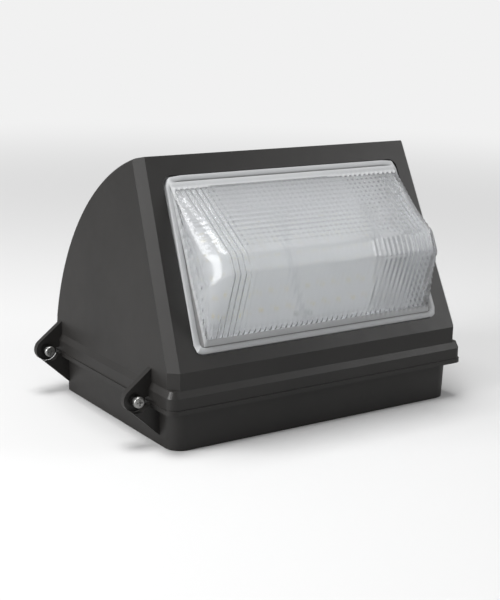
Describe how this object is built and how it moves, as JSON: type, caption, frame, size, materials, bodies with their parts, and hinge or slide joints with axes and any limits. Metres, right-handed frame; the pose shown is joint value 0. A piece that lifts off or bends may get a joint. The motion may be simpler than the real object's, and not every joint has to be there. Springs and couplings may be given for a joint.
{
  "type": "wall pack light",
  "caption": "Wall area light: cast back box, side-hinged cast hood with a curved roof, and a ribbed two-faced prismatic glass in its sloped front.",
  "frame": {"origin": "centre of the wire entry hole at the wall face of the back box", "axes": "+X to the right along the width, +Y towards the curved roof of the hood, +Z out from the wall"},
  "size_m": [0.4065, 0.2626, 0.268],
  "materials": {
    "bronze_paint": "satin",
    "clear_glass": "gloss",
    "black_rubber": "matte",
    "zinc_steel": "satin",
    "white_paint": "satin",
    "sheet_aluminium": "satin",
    "board_white": "satin",
    "chip_yellow": "gloss",
    "driver_shell": "satin",
    "black_plastic": "matte",
    "cream_plastic": "matte",
    "brass": "satin",
    "white_insulation": "satin",
    "black_insulation": "satin"
  },
  "bodies": {
    "box": {"back_box": "bronze_paint", "box_gasket": "black_rubber", "conduit_plugs": "bronze_paint", "conduit_plug_seals": "black_rubber", "hinge_pins": "zinc_steel", "hinge_washers": "zinc_steel", "hinge_nuts": "zinc_steel", "led_carrier": "sheet_aluminium", "carrier_screws": "zinc_steel", "led_board_left": "board_white", "led_board_right": "board_white", "led_chips_left": "chip_yellow", "led_chips_right": "chip_yellow", "board_screws": "zinc_steel", "driver_case": "driver_shell", "driver_end_caps": "black_plastic", "driver_screws": "zinc_steel", "terminal_block": "cream_plastic", "terminal_screws": "brass", "terminal_fixings": "zinc_steel", "ground_screw": "brass", "ground_ring": "brass", "output_lead_left": "white_insulation", "output_lead_right": "white_insulation", "supply_lead_line": "black_insulation", "supply_lead_neutral": "white_insulation"},
    "hood": {"hood": "bronze_paint", "lens_gasket": "black_rubber", "glass_refractor": "clear_glass", "lens_clips": "zinc_steel", "lens_clip_screws": "zinc_steel", "reflector_pan": "white_paint"},
    "closing_screw_front": {"closing_screw_front": "zinc_steel", "closing_ring_front": "zinc_steel"},
    "closing_screw_rear": {"closing_screw_rear": "zinc_steel", "closing_ring_rear": "zinc_steel"}
  },
  "joints": [
    {"name": "hood_hinge", "type": "hinge", "parent": "box", "child": "hood", "pos_m": [-0.196, 0, 0.047], "axis": [0, -1, 0], "range_deg": [0, 95]},
    {"name": "closing_screw_front_slide", "type": "slide", "parent": "hood", "child": "closing_screw_front", "axis": [0, 0, 1], "range_m": [0, 0.009]},
    {"name": "closing_screw_rear_slide", "type": "slide", "parent": "hood", "child": "closing_screw_rear", "axis": [0, 0, 1], "range_m": [0, 0.009]}
  ]
}
